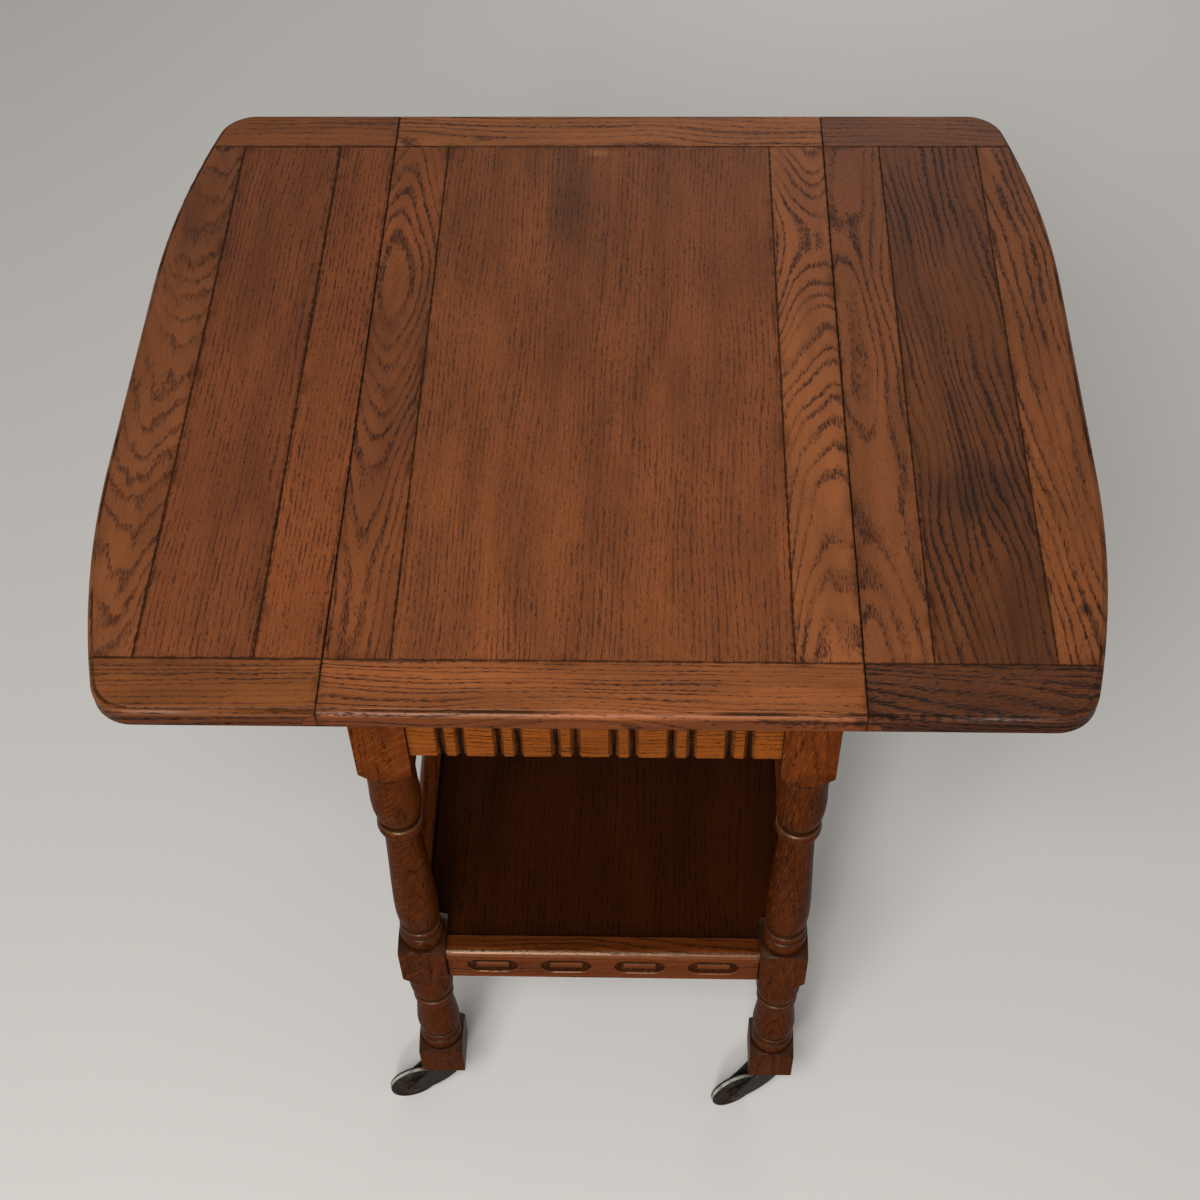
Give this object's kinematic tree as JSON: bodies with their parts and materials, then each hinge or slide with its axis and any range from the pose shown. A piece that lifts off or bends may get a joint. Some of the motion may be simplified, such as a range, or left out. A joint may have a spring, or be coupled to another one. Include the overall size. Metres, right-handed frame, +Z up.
{
  "type": "drop leaf tea trolley",
  "caption": "Oak tea trolley on castors: framed top with bowed drop leaves on rule joints, fluted frieze, turned legs and a sunk lower shelf with carved rails.",
  "frame": {"origin": "on the floor under the middle of the top", "axes": "+Z up, +X across the leaves towards the right leaf, +Y away from the front end, which faces -Y"},
  "size_m": [0.791, 0.691, 0.786],
  "materials": {
    "oak_frame": "waxed reddish brown oak",
    "oak_panel": "waxed oak veneer, a little darker than the frame",
    "oak_inside": "bare oak, unseen inside",
    "hinge_steel": "dull bright steel",
    "screw_steel": "dull bright steel",
    "castor_iron": "blackened, oily",
    "castor_rivet": "tarnished",
    "wheel_composition": "dark brown moulded composition",
    "tyre_rubber": "old black rubber, worn pale on the tread"
  },
  "bodies": {
    "frame": {"centre_panel": "oak_panel", "centre_left_stile": "oak_frame", "centre_right_stile": "oak_frame", "centre_front_rail": "oak_frame", "centre_back_rail": "oak_frame", "front_left_leg": "oak_frame", "front_right_leg": "oak_frame", "back_left_leg": "oak_frame", "back_right_leg": "oak_frame", "front_frieze": "oak_frame", "back_frieze": "oak_frame", "left_side_rail": "oak_frame", "right_side_rail": "oak_frame", "shelf_front_rail": "oak_frame", "shelf_back_rail": "oak_frame", "shelf_left_rail": "oak_frame", "shelf_right_rail": "oak_frame", "shelf_panel": "oak_panel", "left_slide_bearer": "oak_inside", "right_slide_bearer": "oak_inside", "glue_blocks": "oak_inside", "top_fixing_screws": "screw_steel", "hinge_fixed_flaps": "hinge_steel", "hinge_pins": "hinge_steel", "hinge_fixed_screws": "screw_steel", "castor_sockets": "castor_iron"},
    "left_leaf": {"left_leaf_panel": "oak_panel", "left_leaf_hinge_stile": "oak_frame", "left_leaf_outer_stile": "oak_frame", "left_leaf_front_rail": "oak_frame", "left_leaf_back_rail": "oak_frame", "left_hinge_moving_flaps": "hinge_steel", "left_hinge_moving_screws": "screw_steel"},
    "right_leaf": {"right_leaf_panel": "oak_panel", "right_leaf_hinge_stile": "oak_frame", "right_leaf_outer_stile": "oak_frame", "right_leaf_front_rail": "oak_frame", "right_leaf_back_rail": "oak_frame", "right_hinge_moving_flaps": "hinge_steel", "right_hinge_moving_screws": "screw_steel"},
    "front_left_slide": {"front_left_slide": "oak_inside"},
    "front_right_slide": {"front_right_slide": "oak_inside"},
    "back_left_slide": {"back_left_slide": "oak_inside"},
    "back_right_slide": {"back_right_slide": "oak_inside"},
    "front_left_castor": {"front_left_castor_horn": "castor_iron", "front_left_castor_axle": "castor_rivet"},
    "front_left_castor_wheel": {"front_left_wheel": "wheel_composition", "front_left_tyre": "tyre_rubber"},
    "front_right_castor": {"front_right_castor_horn": "castor_iron", "front_right_castor_axle": "castor_rivet"},
    "front_right_castor_wheel": {"front_right_wheel": "wheel_composition", "front_right_tyre": "tyre_rubber"},
    "back_left_castor": {"back_left_castor_horn": "castor_iron", "back_left_castor_axle": "castor_rivet"},
    "back_left_castor_wheel": {"back_left_wheel": "wheel_composition", "back_left_tyre": "tyre_rubber"},
    "back_right_castor": {"back_right_castor_horn": "castor_iron", "back_right_castor_axle": "castor_rivet"},
    "back_right_castor_wheel": {"back_right_wheel": "wheel_composition", "back_right_tyre": "tyre_rubber"}
  },
  "joints": [
    {"name": "left_leaf_hinge", "type": "hinge", "parent": "frame", "child": "left_leaf", "pos_m": [-0.199, 0, 0.771], "axis": [0, 1, 0], "range_deg": [-90, 0]},
    {"name": "right_leaf_hinge", "type": "hinge", "parent": "frame", "child": "right_leaf", "pos_m": [0.199, 0, 0.771], "axis": [0, -1, 0], "range_deg": [-90, 0]},
    {"name": "front_left_slide_pull", "type": "slide", "parent": "frame", "child": "front_left_slide", "axis": [-1, 0, 0], "range_m": [0, 0.0915]},
    {"name": "front_right_slide_pull", "type": "slide", "parent": "frame", "child": "front_right_slide", "axis": [1, 0, 0], "range_m": [0, 0.0915]},
    {"name": "back_left_slide_pull", "type": "slide", "parent": "frame", "child": "back_left_slide", "axis": [-1, 0, 0], "range_m": [0, 0.0915]},
    {"name": "back_right_slide_pull", "type": "slide", "parent": "frame", "child": "back_right_slide", "axis": [1, 0, 0], "range_m": [0, 0.0915]},
    {"name": "front_left_castor_swivel", "type": "hinge", "parent": "frame", "child": "front_left_castor", "pos_m": [-0.1683, -0.2815, 0.072], "axis": [0, 0, 1], "continuous": true},
    {"name": "front_left_wheel_spin", "type": "hinge", "parent": "front_left_castor", "child": "front_left_castor_wheel", "pos_m": [-0.20517, -0.2942, 0.025], "axis": [0.3256, -0.9455, 0], "continuous": true},
    {"name": "front_right_castor_swivel", "type": "hinge", "parent": "frame", "child": "front_right_castor", "pos_m": [0.1683, -0.2815, 0.072], "axis": [0, 0, 1], "continuous": true},
    {"name": "front_right_wheel_spin", "type": "hinge", "parent": "front_right_castor", "child": "front_right_castor_wheel", "pos_m": [0.13295, -0.29798, 0.025], "axis": [0.4226, -0.9063, 0], "continuous": true},
    {"name": "back_left_castor_swivel", "type": "hinge", "parent": "frame", "child": "back_left_castor", "pos_m": [-0.1683, 0.2815, 0.072], "axis": [0, 0, 1], "continuous": true},
    {"name": "back_left_wheel_spin", "type": "hinge", "parent": "back_left_castor", "child": "back_left_castor_wheel", "pos_m": [-0.20173, 0.26141, 0.025], "axis": [0.515, -0.8572, 0], "continuous": true},
    {"name": "back_right_castor_swivel", "type": "hinge", "parent": "frame", "child": "back_right_castor", "pos_m": [0.1683, 0.2815, 0.072], "axis": [0, 0, 1], "continuous": true},
    {"name": "back_right_wheel_spin", "type": "hinge", "parent": "back_right_castor", "child": "back_right_castor_wheel", "pos_m": [0.13214, 0.26689, 0.025], "axis": [0.3746, -0.9272, 0], "continuous": true}
  ]
}
